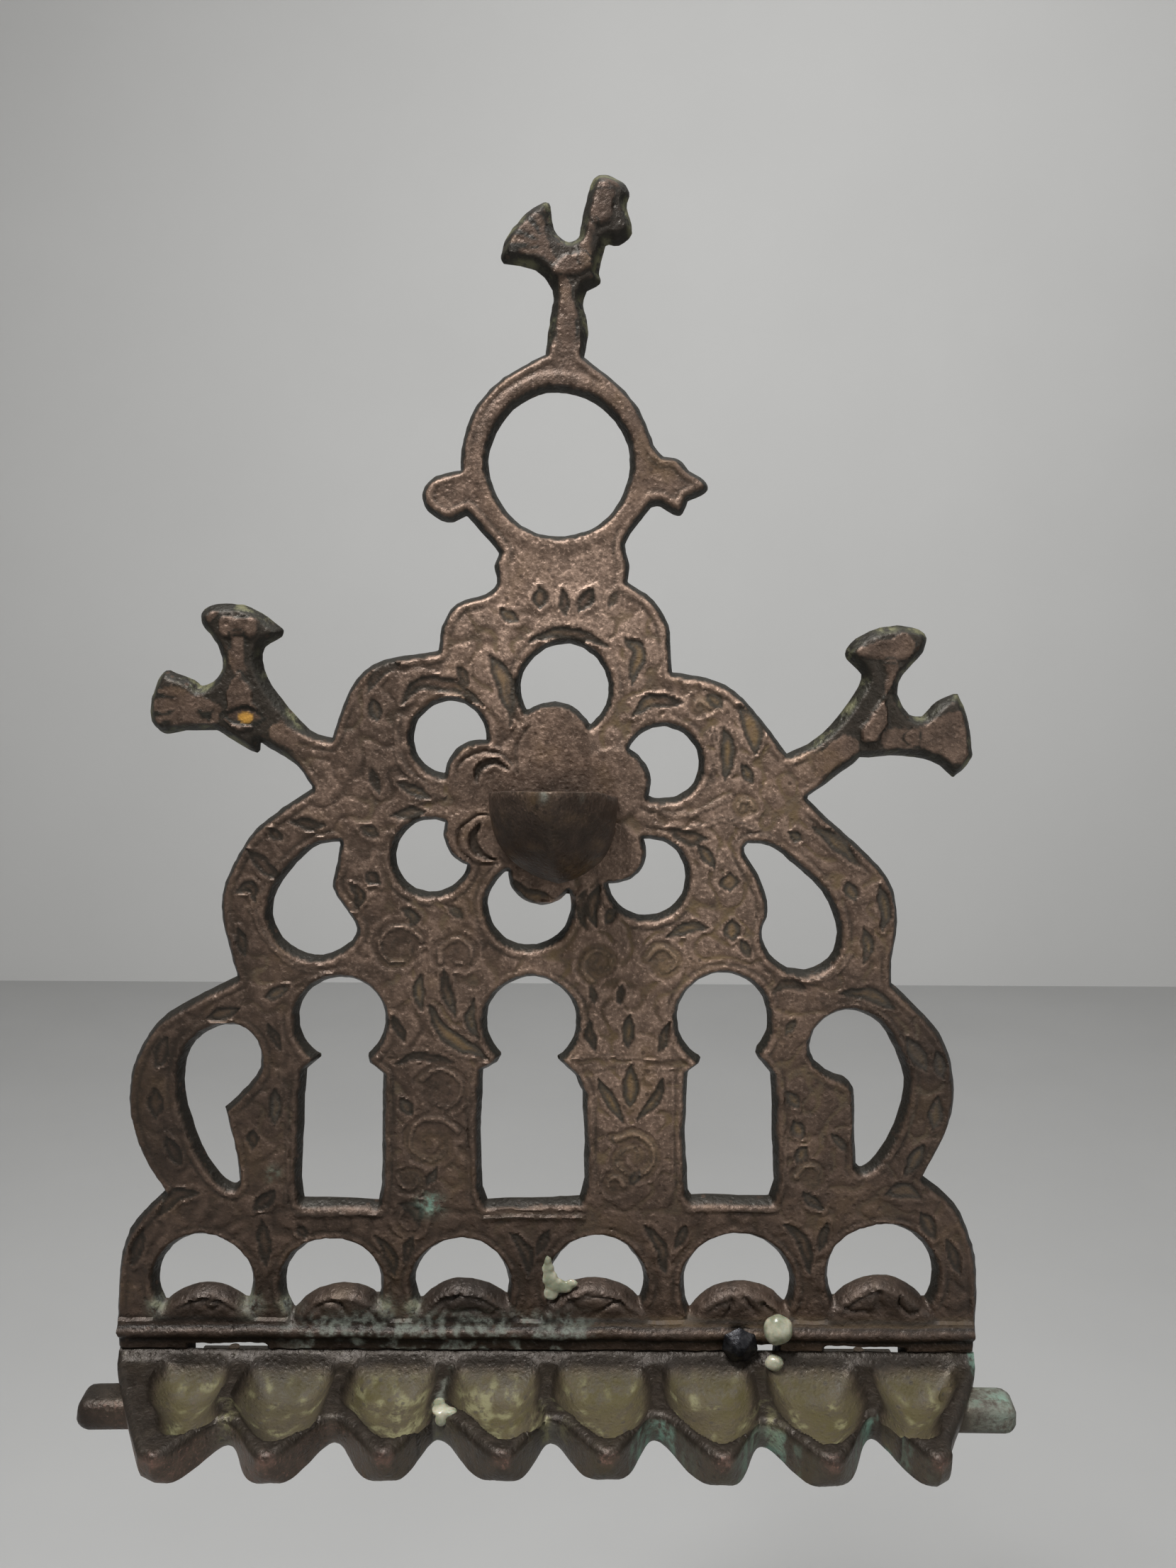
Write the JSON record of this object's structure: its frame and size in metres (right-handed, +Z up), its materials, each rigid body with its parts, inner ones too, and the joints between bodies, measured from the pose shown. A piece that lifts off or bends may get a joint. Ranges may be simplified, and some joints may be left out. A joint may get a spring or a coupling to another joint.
{
  "type": "hanging menorah lamp",
  "caption": "Wall-hung openwork cast lamp with a hanging ring, a row of pointed oil pans along its foot and a servant cup on its rosette.",
  "frame": {"origin": "centre of the hanging ring's hole, on the back face of the plate", "axes": "+Z up, +Y from the lamp into the wall it hangs on, +X to the right of a person looking at the front"},
  "size_m": [0.198, 0.0402, 0.2601],
  "materials": {
    "plate_bronze": "old cast bronze, worn pinkish brown with ochre in the hollows",
    "tray_bronze": "old cast bronze, sooty, with olive oil film and verdigris",
    "cup_bronze": "old cast bronze, smooth and dark",
    "pin_bronze": "dark worn bronze",
    "black_iron": "hammered black iron",
    "wax": "pale greenish candle wax"
  },
  "bodies": {
    "root": {"back_plate": "plate_bronze", "oil_tray": "tray_bronze", "servant_cup": "cup_bronze", "tray_pin_left": "pin_bronze", "tray_pin_right": "pin_bronze", "servant_pin": "pin_bronze", "rose_nail": "black_iron", "wax_drop_large": "wax", "wax_drop_small": "wax", "wax_lump_arch": "wax", "wax_lump_tray": "wax"}
  },
  "joints": []
}
